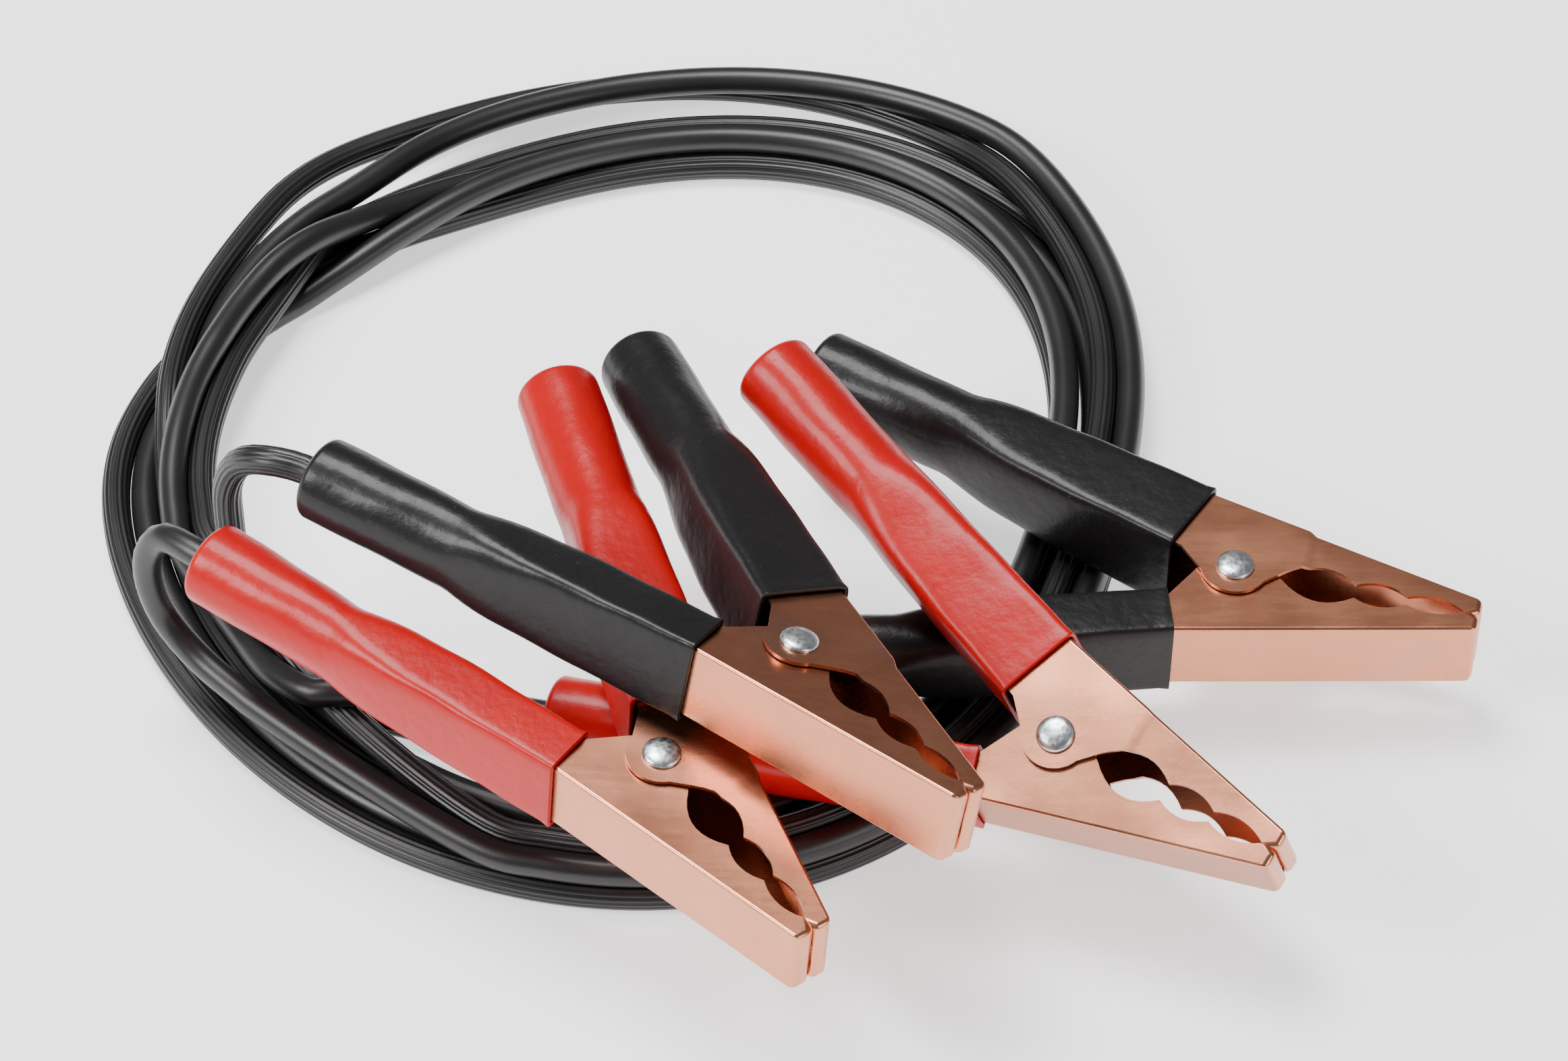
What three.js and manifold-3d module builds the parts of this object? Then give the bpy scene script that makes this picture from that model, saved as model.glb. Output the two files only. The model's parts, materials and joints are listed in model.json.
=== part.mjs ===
// Jumper cable set for a car battery: one twin cable, loosely coiled, with a sprung clamp on each of its
// four conductor ends. The clamps lie on their sides on the front of the coil, handles crossed.
// Millimetres, +Z up. The origin is on the floor, under the middle of the coil's front.
import * as THREE from 'three';
import { mergeVertices } from 'three/addons/utils/BufferGeometryUtils.js';
import Module from 'manifold-3d';

const wasm = await Module();
wasm.setup();

// Clearances
const SEAT_GAP = 0.3; // between two pieces that touch
const SLIDE_GAP = 0.3; // between the two jaws' flanges, and round the rivet

// Stamped jaws. In a clamp's own frame the rivet is the Z axis, +X runs to the handles, and the jaw that
// carries the cable is on the +Y side. Each jaw is a channel: a back web and two flanges.
const SHEET = 0.8; // thickness of the steel
const NOSE_REACH = 52.2; // rivet axis to the meeting line of the noses
const NOSE_BULGE = 1.2; // how far a nose swells past that line
const NOSE_HEIGHT = 4.6; // back of the web above the parting line, at the nose
const NOSE_LIP = 2.7; // length along which the closed noses meet
const NOSE_ROUND = 2.4; // meeting line to where the rounding of a nose starts on the web
const NOSE_SHOULDER = { back: 0.5, drop: 0.9 }; // middle of that rounding, from the tip and the web's back
const NOSE_FRONT = 2.2; // its end, below the web's back
const WEB_ANGLE = THREE.MathUtils.degToRad(14.1); // slope of the web
const CABLE_JAW_WIDTH = 17.4; // over the flanges of the jaw that carries the cable
const PARTING_GAP = 0.3; // between the closed jaws
const STEP_AT = 14; // rivet axis to the step where the free jaw widens to clear the other's flanges
const STEP_LENGTH = 1.6;
const STEP_LAP = 1; // by which the step's hollow runs on into the parts before and behind it
const STEP_REAR = 6; // and by which its outline runs on towards the rivet

// Scallops along the parting line: distance of each cusp from the rivet, and half of its opening
const EYE_REAR = { reach: 10.3, half: 0.6 };
const CUSP_REAR = { reach: 26.2, half: 1.9 };
const CUSP_FRONT = { reach: 37.5, half: 1.15 };
const BITE_REAR = { reach: NOSE_REACH - NOSE_LIP, half: PARTING_GAP / 2 };
const EYE_HALF = 4.9; // half height of the big opening behind the first cusp
const MIDDLE_HALF = 3.3; // of the middle one
const SMALL_HALF = 2.3; // of the one behind the noses

// Ears round the rivet
const FREE_EAR_RADIUS = 7.4;
const CABLE_EAR_RADIUS = 6.4;
const FREE_EAR_ARC = { from: 203, to: 340 }; // degrees, from +X
const CABLE_EAR_ARC = { from: 208, to: 330 };

// Rivet
const SHANK_RADIUS = 2.4;
const HEAD_RADIUS = 4.0;
const HEAD_HEIGHT = 1.5;
const HEAD_RIM = 0.35; // height of the head's straight edge

// Torsion spring on the rivet
const WIRE = 1.8;
const SPRING_BORE_GAP = 0.5;
const SPRING_LEG = 7; // rivet axis to the tip of each leg, along X
const SPRING_END_GAP = 1.0; // from its coil to the flanges

// Sleeves, slipped over the jaws' tangs
const SLEEVE_WALL = 1.0;
const SLEEVE_START = 11.2; // rivet axis to the sleeves' mouths, along X
const MOUTH_BACK = 1.4; // from there to where the web passes under the mouth's edge, along X
const FLANGE_LAP = 3; // length of the jaws' flanges and webs that runs on under the sleeves
const FLANGE_TURN = { along: 1.2, rise: 1 }; // where the flange edge starts to follow the handle
const TAIL_REACH = 101.2; // rivet axis to the tail ends, along X
const TAIL_SPREAD = 44.7; // tail centre from the clamp's middle line
const TAIL_RADIUS = 9.1;
const TAIL_END_WALL = 1.6;
const TANG_SHARE = 0.62; // how much of the sleeve the tang fills
const TANG_ROOT = 0.02; // share of the same length by which it overlaps the jaw in front of the mouth
const FREE_FLANGE_EDGE = 3.2; // edge of the free jaw's flanges from the middle line, at the sleeve
const CABLE_FLANGE_EDGE = 10.3; // of the other jaw's

// Cable: two conductors side by side, two layers high in the coil
const CONDUCTOR = 6.4;
const COIL_HEIGHT = 2 * CONDUCTOR;
const COIL_CENTRE = new THREE.Vector2(0, 120.9);
const COIL_RADIUS = 111.5; // mean, to the middle of the bundle
const COIL_OVAL = { share: -0.071, turn: -0.234 };
const COIL_EGG = { share: -0.038, turn: -0.198 };
const LEAD_INSIDE = 12; // length of conductor hidden in a sleeve's tail
const LEAD_STRAIGHT = 4; // and straight beyond it
const LEAD_STEP = 7;
const BUNDLE_WIDTH = 24;
const BUNDLE_SPREAD = 3; // wider by this much at the front and back, and narrower at the sides

// Where each clamp lies: rivet centre, then turns about Z, Y and X in degrees. Its lead leaves the sleeve
// through the tail, runs by way of the points, and ends on the coil: an angle seen from above, how far
// outside the bundle's middle, and how high.
const ON_COIL = COIL_HEIGHT + CONDUCTOR / 2 + SEAT_GAP;
const ON_FLOOR = CONDUCTOR / 2 + SEAT_GAP;
const BESIDE_COIL = -(BUNDLE_WIDTH / 2 + CONDUCTOR / 2 + SEAT_GAP + 1.6);
const CLAMPS = [
  {
    name: 'red_front',
    rubber: 'red',
    at: [6.2, -11.2, 41.3],
    turn: [126.2, -5.3, 0.7],
    lead: [
      [-99.6, 52.2, 49.6], [-103.2, 53.8, 43], [-103.4, 53.8, 34], [-100.6, 52.4, 25], [-93.6, 46.8, 18.6],
    ],
    end: { angle: -134, across: 7, height: ON_COIL },
  },
  {
    name: 'black_front',
    rubber: 'black',
    at: [33.3, 0.7, 60.3],
    turn: [130.7, -0.1, 13.5],
    lead: [
      [-75.8, 53, 71.6], [-82.2, 57, 67.4], [-85.8, 60, 58],
      [-86.4, 61.4, 45], [-86, 61.2, 32], [-84, 58.8, 22],
    ],
    end: { angle: -136, across: -6, height: ON_COIL },
  },
  {
    name: 'red_rear',
    rubber: 'red',
    at: [90.2, 5.1, 34.3],
    turn: [146.4, -3.1, -26.8],
    lead: [[-34, 33.8, 17.9], [-47, 37, 16.9]],
    end: { angle: -129, across: -6, height: ON_COIL },
  },
  {
    name: 'black_rear',
    rubber: 'black',
    at: [128.4, 60.9, 23.0],
    turn: [167.1, -1.7, -2.4],
    lead: [
      [8, 39.4, 23.4], [-1, 38.4, 19], [-7, 36.6, 12],
      [-13, 34.6, 6.4], [-21, 34, ON_FLOOR], [-32, 36, ON_FLOOR],
    ],
    end: { angle: -126, across: BESIDE_COIL, height: ON_FLOOR },
  },
];

const copper = new THREE.MeshStandardMaterial({ color: 0xd99a78, roughness: 0.32, metalness: 1.0 });
const zinc = new THREE.MeshStandardMaterial({ color: 0xc4cacc, roughness: 0.3, metalness: 1.0 });
const springSteel = new THREE.MeshStandardMaterial({ color: 0x77797c, roughness: 0.45, metalness: 1.0 });
const sleeveVinyl = {
  red: new THREE.MeshStandardMaterial({ color: 0xd6201f, roughness: 0.3, metalness: 0.0 }),
  black: new THREE.MeshStandardMaterial({ color: 0x232226, roughness: 0.3, metalness: 0.0 }),
};
const cableVinyl = new THREE.MeshStandardMaterial({ color: 0x2b2a2d, roughness: 0.45, metalness: 0.0 });

function solidOf(geometry) {
  geometry.deleteAttribute('normal');
  geometry.deleteAttribute('uv');
  const merged = mergeVertices(geometry, 1e-4);
  return new wasm.Manifold(new wasm.Mesh({
    numProp: 3,
    vertProperties: new Float32Array(merged.attributes.position.array),
    triVerts: new Uint32Array(merged.index.array),
  }));
}

function geometryOf(solid) {
  const mesh = solid.getMesh();
  const geometry = new THREE.BufferGeometry();
  geometry.setAttribute('position', new THREE.BufferAttribute(mesh.vertProperties, 3));
  geometry.setIndex(new THREE.BufferAttribute(mesh.triVerts, 1));
  return geometry;
}

function named(name, geometry, material) {
  const mesh = new THREE.Mesh(geometry, material);
  mesh.name = name;
  return mesh;
}

// A flat outline in X and Y, as thick as width and centred on Z = 0
function slab(points, width) {
  const geometry = new THREE.ExtrudeGeometry(new THREE.Shape(points), { depth: width, bevelEnabled: false });
  return solidOf(geometry.translate(0, 0, -width / 2));
}

function block(x0, x1, y0, y1, z0, z1) {
  const geometry = new THREE.BoxGeometry(x1 - x0, y1 - y0, z1 - z0);
  return solidOf(geometry.translate((x0 + x1) / 2, (y0 + y1) / 2, (z0 + z1) / 2));
}

function cylinderZ(radius, height, sides = 14) {
  return solidOf(new THREE.CylinderGeometry(radius, radius, height, sides).rotateX(Math.PI / 2));
}

function webHeight(x, inset = 0) {
  const drop = inset / Math.cos(WEB_ANGLE);
  return NOSE_HEIGHT + (x + NOSE_REACH) * Math.tan(WEB_ANGLE) - drop;
}

// The parting edge from the nose to the rivet, as seen on the +Y side
function partingEdge() {
  const stops = [BITE_REAR, CUSP_FRONT, CUSP_REAR, EYE_REAR];
  const depths = [SMALL_HALF, MIDDLE_HALF, EYE_HALF];
  const path = new THREE.Path().moveTo(-NOSE_REACH, PARTING_GAP / 2).lineTo(-stops[0].reach, stops[0].half);
  depths.forEach((depth, i) => {
    const from = stops[i];
    const to = stops[i + 1];
    const control = 2 * depth - (from.half + to.half) / 2;
    path.quadraticCurveTo(-(from.reach + to.reach) / 2, control, -to.reach, to.half);
  });
  return path.getPoints(5);
}

function arcPoints(radius, from, to, count) {
  return Array.from({ length: count + 1 }, (_, i) => {
    const angle = THREE.MathUtils.degToRad(from + ((to - from) * i) / count);
    return new THREE.Vector2(radius * Math.cos(angle), radius * Math.sin(angle));
  });
}

function noseRound(inset) {
  const tip = NOSE_REACH + NOSE_BULGE - inset;
  return [
    new THREE.Vector2(-NOSE_REACH + NOSE_ROUND, webHeight(-NOSE_REACH + NOSE_ROUND, inset)),
    new THREE.Vector2(-tip + NOSE_SHOULDER.back, NOSE_HEIGHT - NOSE_SHOULDER.drop - inset / 2),
    new THREE.Vector2(-tip, NOSE_HEIGHT - NOSE_FRONT - inset / 2),
  ];
}

// One jaw as a channel, in its +Y form. The ear reaches over the middle line, round the rivet.
function jawChannel(width, earRadius, earArc, flangeEdge) {
  const end = SLEEVE_START + FLANGE_LAP;
  const outline = [
    ...partingEdge(),
    ...arcPoints(earRadius, earArc.from, earArc.to, 8),
    new THREE.Vector2(SLEEVE_START + FLANGE_TURN.along, flangeEdge),
    new THREE.Vector2(end, flangeEdge + FLANGE_TURN.rise),
    new THREE.Vector2(end, webHeight(end)),
    ...noseRound(0),
  ];
  const below = -earRadius - 5;
  const hollow = [
    new THREE.Vector2(-NOSE_REACH + SHEET, below),
    new THREE.Vector2(end + 5, below),
    new THREE.Vector2(end + 5, webHeight(end + 5, SHEET)),
    ...noseRound(SHEET),
  ];
  return slab(outline, width).subtract(slab(hollow, width - 2 * SHEET));
}

// The line of a handle, from the middle of its sleeve's mouth to the middle of its tail
function handleLine(mouth) {
  const start = new THREE.Vector2(SLEEVE_START, mouth.centre);
  const run = new THREE.Vector2(TAIL_REACH, TAIL_SPREAD).sub(start);
  const along = run.clone().normalize();
  const outward = new THREE.Vector2(-along.y, along.x);
  const point = (far, side) => start.clone().addScaledVector(along, far).addScaledVector(outward, side);
  return { length: run.length(), angle: run.angle(), along, outward, point };
}

// A sleeve and the tang inside it share one form: square at the mouth, round at the tail
function handleForm(mouth, inset, from, to, steps) {
  const line = handleLine(mouth);
  const geometry = new THREE.CylinderGeometry(1, 1, 1, 16, steps);
  const position = geometry.attributes.position;
  for (let i = 0; i < position.count; i += 1) {
    const t = from + (to - from) * (position.getY(i) + 0.5);
    const share = THREE.MathUtils.clamp(t, 0, 1);
    const across = Number(position.getX(i).toFixed(6));
    const up = Number(position.getZ(i).toFixed(6));
    const power = 2 / THREE.MathUtils.lerp(12, 2, Math.min(1, share * 1.6));
    const halfDepth = THREE.MathUtils.lerp(mouth.depth / 2, TAIL_RADIUS, share) - inset;
    const halfWidth = THREE.MathUtils.lerp(mouth.width / 2, TAIL_RADIUS, share) - inset;
    const side = Math.sign(across) * Math.abs(across) ** power * halfDepth;
    const z = -Math.sign(up) * Math.abs(up) ** power * halfWidth;
    const flat = line.point(line.length * t, side);
    position.setXYZ(i, flat.x, flat.y, z);
  }
  return solidOf(geometry);
}

// The tang is a trough of sheet that follows the sleeve's inside, open towards the clamp's middle line
function tang(mouth) {
  const line = handleLine(mouth);
  const fit = SLEEVE_WALL + SEAT_GAP;
  const outside = handleForm(mouth, fit, -TANG_ROOT, TANG_SHARE, 3);
  const inside = handleForm(mouth, fit + SHEET, -0.1, TANG_SHARE + 0.05, 3);
  const slot = slab([
    line.point(-10, -mouth.depth / 2 + fit),
    line.point(-10, -mouth.depth * 2),
    line.point(line.length, -mouth.depth * 2),
    line.point(line.length, -TAIL_RADIUS * 0.4),
  ], mouth.width * 2);
  return outside.subtract(inside).subtract(slot);
}

// Everything behind the plane of a sleeve's mouth
function behindMouth(mouth) {
  const line = handleLine(mouth);
  const wide = mouth.depth * 2;
  const corners = [line.point(0, -wide), line.point(0, wide), line.point(40, wide), line.point(40, -wide)];
  return slab(corners, mouth.width * 2);
}

function sleeve(mouth, cableBore) {
  const line = handleLine(mouth);
  const outside = handleForm(mouth, 0, 0, 1, 4);
  const inside = handleForm(mouth, SLEEVE_WALL, -0.05, 1 - TAIL_END_WALL / line.length, 4);
  let solid = outside.subtract(inside);
  if (cableBore) {
    const radius = CONDUCTOR / 2 + SEAT_GAP;
    const drill = new THREE.CylinderGeometry(radius, radius, 12, 12).rotateZ(line.angle - Math.PI / 2);
    solid = solid.subtract(solidOf(drill.translate(TAIL_REACH, TAIL_SPREAD, 0)));
  }
  return solid;
}

function mouthOf(flangeEdge, jawWidth) {
  const back = webHeight(SLEEVE_START - MOUTH_BACK);
  const grow = SEAT_GAP + SLEEVE_WALL;
  return {
    centre: (back + flangeEdge) / 2,
    depth: back - flangeEdge + 2 * grow,
    width: jawWidth + 2 * grow,
  };
}

const FREE_JAW_WIDTH = CABLE_JAW_WIDTH + 2 * (SLIDE_GAP + SHEET);
const CABLE_MOUTH = mouthOf(CABLE_FLANGE_EDGE, CABLE_JAW_WIDTH);
const FREE_MOUTH = mouthOf(FREE_FLANGE_EDGE, FREE_JAW_WIDTH);

function cableJaw() {
  return jawChannel(CABLE_JAW_WIDTH, CABLE_EAR_RADIUS, CABLE_EAR_ARC, CABLE_FLANGE_EDGE)
    .subtract(behindMouth(CABLE_MOUTH))
    .add(tang(CABLE_MOUTH))
    .subtract(cylinderZ(SHANK_RADIUS + SLIDE_GAP, FREE_JAW_WIDTH * 2));
}

// The free jaw is as wide as the other one at the nose, and steps out to pass outside it at the rivet
function freeJaw() {
  const far = NOSE_REACH + NOSE_BULGE + 5;
  const half = FREE_JAW_WIDTH;
  const wide = jawChannel(FREE_JAW_WIDTH, FREE_EAR_RADIUS, FREE_EAR_ARC, FREE_FLANGE_EDGE);
  const narrow = jawChannel(CABLE_JAW_WIDTH, FREE_EAR_RADIUS, FREE_EAR_ARC, FREE_FLANGE_EDGE);
  const front = block(-far, -STEP_AT, -far, far, -half, half);
  const rear = block(-STEP_AT - STEP_LENGTH, far, -far, far, -half, half);
  const step = block(-STEP_AT - STEP_LENGTH, -STEP_AT, -far, far, -half, half);
  const coreHalf = CABLE_JAW_WIDTH / 2 - SHEET;
  const coreTop = webHeight(-STEP_AT - STEP_LENGTH, SHEET);
  const core = block(
    -STEP_AT - STEP_LENGTH - STEP_LAP, -STEP_AT + STEP_LAP, -far, coreTop, -coreHalf, coreHalf,
  );
  const rearCorner = new THREE.Vector2(-STEP_AT + STEP_REAR, webHeight(-STEP_AT + STEP_REAR));
  const blank = slab([...partingEdge(), rearCorner, ...noseRound(0)], FREE_JAW_WIDTH);
  const stepWall = blank.intersect(step).subtract(core);
  return narrow.intersect(front)
    .add(wide.intersect(rear))
    .add(stepWall)
    .subtract(behindMouth(FREE_MOUTH))
    .add(tang(FREE_MOUTH))
    .subtract(cylinderZ(SHANK_RADIUS + SLIDE_GAP, FREE_JAW_WIDTH * 2));
}

function rivet() {
  const seat = FREE_JAW_WIDTH / 2 + SEAT_GAP;
  const dome = [
    [HEAD_RADIUS, HEAD_RIM],
    [HEAD_RADIUS * 0.85, HEAD_HEIGHT * 0.6],
    [HEAD_RADIUS * 0.5, HEAD_HEIGHT * 0.9],
    [0, HEAD_HEIGHT],
  ];
  const raised = dome.map(([r, h]) => [r, seat + h]);
  const half = [[SHANK_RADIUS, 0], [SHANK_RADIUS, seat], [HEAD_RADIUS, seat], ...raised];
  const lower = half.slice(1).reverse().map(([r, h]) => new THREE.Vector2(r, -h));
  const upper = half.slice(1).map(([r, h]) => new THREE.Vector2(r, h));
  return solidOf(new THREE.LatheGeometry([...lower, ...upper], 14).rotateX(Math.PI / 2));
}

// The spring's coil sits round the rivet, and a leg presses on the inside of each web
function spring() {
  const bore = SHANK_RADIUS + SPRING_BORE_GAP;
  const height = CABLE_JAW_WIDTH - 2 * SHEET - 2 * SPRING_END_GAP;
  const foot = new THREE.Vector2(bore + WIRE / 2, 0);
  const tip = new THREE.Vector2(SPRING_LEG, webHeight(SPRING_LEG, SHEET) - SEAT_GAP - WIRE / 2);
  const run = tip.clone().sub(foot);
  const leg = (side) => {
    const bar = new THREE.BoxGeometry(run.length(), WIRE, WIRE).rotateZ(run.angle());
    bar.translate((foot.x + tip.x) / 2, (foot.y + tip.y) / 2, (height - WIRE) / 2);
    return solidOf(side > 0 ? bar : bar.rotateX(Math.PI));
  };
  return cylinderZ(bore + WIRE, height).add(leg(1)).add(leg(-1)).subtract(cylinderZ(bore, height * 2));
}

// The free side is the +Y form turned half round the X axis, so that it stays a solid with faces outward
function clamp({ name, rubber, at, turn }) {
  const group = new THREE.Group();
  const flip = (solid) => geometryOf(solid).rotateX(Math.PI);
  group.add(named(`${name}_cable_jaw`, geometryOf(cableJaw()), copper));
  group.add(named(`${name}_free_jaw`, flip(freeJaw()), copper));
  group.add(named(`${name}_rivet`, geometryOf(rivet()), zinc));
  group.add(named(`${name}_spring`, geometryOf(spring()), springSteel));
  group.add(named(`${name}_cable_sleeve`, geometryOf(sleeve(CABLE_MOUTH, true)), sleeveVinyl[rubber]));
  group.add(named(`${name}_free_sleeve`, flip(sleeve(FREE_MOUTH, false)), sleeveVinyl[rubber]));
  const [yaw, pitch, roll] = turn.map(THREE.MathUtils.degToRad);
  group.rotation.set(roll, pitch, yaw, 'ZYX');
  group.position.set(...at);
  return group;
}

// Middle of the coil's bundle at an angle seen from above
function coilRadius(angle) {
  const oval = COIL_OVAL.share * Math.cos(2 * (angle - COIL_OVAL.turn));
  const egg = COIL_EGG.share * Math.cos(3 * (angle - COIL_EGG.turn));
  return COIL_RADIUS * (1 + oval + egg);
}

// The bundle of turns as one solid ring with a flat underside
function coil() {
  const rim = CONDUCTOR / 2;
  const profile = new THREE.Shape();
  profile.moveTo(-0.5 + 0.12, 0).lineTo(0.5 - 0.12, 0).lineTo(0.5, rim).lineTo(0.5, COIL_HEIGHT - rim);
  profile.lineTo(0.5 - 0.12, COIL_HEIGHT).lineTo(-0.5 + 0.12, COIL_HEIGHT).lineTo(-0.5, COIL_HEIGHT - rim);
  profile.lineTo(-0.5, rim).closePath();
  const points = profile.getPoints().map((p) => new THREE.Vector2(COIL_RADIUS + p.x, p.y));
  const geometry = new THREE.LatheGeometry(points, 48).rotateX(Math.PI / 2);
  const position = geometry.attributes.position;
  for (let i = 0; i < position.count; i += 1) {
    const angle = Math.atan2(position.getY(i), position.getX(i));
    const across = Math.hypot(position.getX(i), position.getY(i)) - COIL_RADIUS;
    const width = BUNDLE_WIDTH - BUNDLE_SPREAD * Math.cos(2 * angle);
    const radius = coilRadius(angle) + across * width;
    position.setX(i, COIL_CENTRE.x + radius * Math.cos(angle));
    position.setY(i, COIL_CENTRE.y + radius * Math.sin(angle));
  }
  return solidOf(geometry);
}

// A conductor from inside a sleeve's tail to the coil
function lead({ name, at, turn, lead: route, end }) {
  const place = new THREE.Object3D();
  const [yaw, pitch, roll] = turn.map(THREE.MathUtils.degToRad);
  place.rotation.set(roll, pitch, yaw, 'ZYX');
  place.position.set(...at);
  place.updateMatrixWorld(true);
  const line = handleLine(CABLE_MOUTH);
  const starts = [-LEAD_INSIDE, 0, LEAD_STRAIGHT].map((far) => {
    const flat = line.point(line.length + far, 0);
    return new THREE.Vector3(flat.x, flat.y, 0).applyMatrix4(place.matrixWorld);
  });
  const angle = THREE.MathUtils.degToRad(end.angle);
  const radius = coilRadius(angle) + end.across;
  const onCoil = new THREE.Vector2(Math.cos(angle), Math.sin(angle)).multiplyScalar(radius).add(COIL_CENTRE);
  const stop = new THREE.Vector3(onCoil.x, onCoil.y, end.height);
  const way = route.map((point) => new THREE.Vector3(...point));
  const curve = new THREE.CatmullRomCurve3([...starts, ...way, stop], false, 'centripetal');
  const section = new THREE.Shape(arcPoints(CONDUCTOR / 2, 0, 315, 7));
  const steps = Math.round(curve.getLength() / LEAD_STEP);
  const geometry = new THREE.ExtrudeGeometry(section, { steps, extrudePath: curve, bevelEnabled: false });
  return named(`${name}_lead`, geometryOf(solidOf(geometry)), cableVinyl);
}

const jumperCable = new THREE.Group();
CLAMPS.forEach((entry) => jumperCable.add(clamp(entry), lead(entry)));
jumperCable.add(named('cable_coil', geometryOf(coil()), cableVinyl));

export default jumperCable;
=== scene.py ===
import json
import math
import bpy
import numpy as np
from mathutils import Euler, Matrix, Vector

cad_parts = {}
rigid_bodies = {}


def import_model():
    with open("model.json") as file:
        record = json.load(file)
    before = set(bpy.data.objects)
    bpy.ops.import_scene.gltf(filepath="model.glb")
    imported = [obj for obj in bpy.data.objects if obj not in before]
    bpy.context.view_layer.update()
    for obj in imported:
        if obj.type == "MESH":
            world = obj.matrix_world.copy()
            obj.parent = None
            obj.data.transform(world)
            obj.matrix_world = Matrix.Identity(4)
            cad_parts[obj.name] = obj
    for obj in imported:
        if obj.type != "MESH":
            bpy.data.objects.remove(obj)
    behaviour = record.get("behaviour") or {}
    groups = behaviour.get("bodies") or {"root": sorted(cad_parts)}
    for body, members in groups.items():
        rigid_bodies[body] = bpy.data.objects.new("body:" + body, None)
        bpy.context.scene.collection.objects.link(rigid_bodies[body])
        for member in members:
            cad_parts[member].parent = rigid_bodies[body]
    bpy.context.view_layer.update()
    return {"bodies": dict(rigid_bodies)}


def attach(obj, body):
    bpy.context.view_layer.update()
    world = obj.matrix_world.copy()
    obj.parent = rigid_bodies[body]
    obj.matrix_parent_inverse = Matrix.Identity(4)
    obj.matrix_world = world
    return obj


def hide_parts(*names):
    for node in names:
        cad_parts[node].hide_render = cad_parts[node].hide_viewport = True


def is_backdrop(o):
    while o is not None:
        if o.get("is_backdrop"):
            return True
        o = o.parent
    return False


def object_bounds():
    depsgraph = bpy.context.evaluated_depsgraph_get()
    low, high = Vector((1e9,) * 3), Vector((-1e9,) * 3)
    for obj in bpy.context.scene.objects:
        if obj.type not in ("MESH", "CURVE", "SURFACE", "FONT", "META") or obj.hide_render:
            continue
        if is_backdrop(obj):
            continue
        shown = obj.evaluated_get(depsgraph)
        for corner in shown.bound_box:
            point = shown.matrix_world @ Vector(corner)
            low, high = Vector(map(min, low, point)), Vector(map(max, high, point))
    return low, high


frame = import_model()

bpy.ops.object.select_all(action="DESELECT")

# The camera looks down at 45 degrees on the front of the coil, from about 1.5 m, as in the photograph.
# It is a long lens, so the set is almost in parallel view.
LOOK_AT = Vector((0.0319, 0.1039, 0.0))
CAMERA_DISTANCE = 1.5
CAMERA_ELEVATION = math.radians(45)
LENS_MM = 154.9
camera_way = Vector((0, -math.cos(CAMERA_ELEVATION), math.sin(CAMERA_ELEVATION)))
bpy.ops.object.camera_add(
    location=LOOK_AT + CAMERA_DISTANCE * camera_way,
    rotation=(math.pi / 2 - CAMERA_ELEVATION, 0, 0),
)
camera = bpy.context.object
camera.data.lens = LENS_MM
camera.data.sensor_width = 36
camera.data.clip_end = 20
bpy.context.scene.camera = camera

# Where each clamp lies: its rivet's centre in millimetres, then its turns about Z, Y and X in degrees.
# A clamp's own frame has the rivet on Z, the handles towards +X and the jaw that carries the cable on +Y.
CLAMPS = {
    "red_front": ((6.2, -11.2, 41.3), (126.2, -5.3, 0.7), "red"),
    "black_front": ((33.3, 0.7, 60.3), (130.7, -0.1, 13.5), "black"),
    "red_rear": ((90.2, 5.1, 34.3), (146.4, -3.1, -26.8), "red"),
    "black_rear": ((128.4, 60.9, 23.0), (167.1, -1.7, -2.4), "black"),
}


def clamp_place(name):
    at, (yaw, pitch, roll), colour = CLAMPS[name]
    turn = Euler([math.radians(a) for a in (roll, pitch, yaw)], "XYZ").to_matrix().to_4x4()
    return Matrix.Translation(Vector(at) / 1000) @ turn @ Matrix.Scale(0.001, 4)


# The cable: two stranded copper conductors in black vinyl, extruded side by side with a thin web between
# them. One conductor is smooth and runs to the red clamps, the other is ribbed and runs to the black ones.
# They are split apart at both ends, and the twin is wound into three turns, two layers high.
CONDUCTOR = 6.4
PAIR = CONDUCTOR + 0.15
COIL_MIDDLE = np.array((0, 120.9))
COIL_RADIUS = 111.5
HANDLE_TAIL = (101.2, 44.7)
HANDLE_MOUTH = (11.2, 15.24)
LEAD_HIDDEN = 12
LEAD_STRAIGHT = 4
RING_STEP = 3.0
ON_COIL = 16.3
ON_FLOOR = 3.5
BESIDE_COIL = -17.1
# Each lead's places from its clamp's tail, then where it meets the coil: angle, distance outside the
# ring's middle line, and height
LEADS = {
    "red_front": (
        [
            (-99.6, 52.2, 49.6), (-103.2, 53.8, 43), (-103.4, 53.8, 34),
            (-100.6, 52.4, 25), (-93.6, 46.8, 18.6),
        ],
        (-134, 7, ON_COIL),
    ),
    "black_front": (
        [
            (-75.8, 53, 71.6), (-82.2, 57, 67.4), (-85.8, 60, 58),
            (-86.4, 61.4, 45), (-86, 61.2, 32), (-84, 58.8, 22),
        ],
        (-136, -6, ON_COIL),
    ),
    "red_rear": (
        [(-34, 33.8, 17.9), (-47, 37, 16.9)],
        (-129, -6, ON_COIL),
    ),
    "black_rear": (
        [
            (8, 39.4, 23.4), (-1, 38.4, 19), (-7, 36.6, 12),
            (-13, 34.6, 6.4), (-21, 34, ON_FLOOR), (-32, 36, ON_FLOOR),
        ],
        (-126, BESIDE_COIL, ON_FLOOR),
    ),
}
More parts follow.
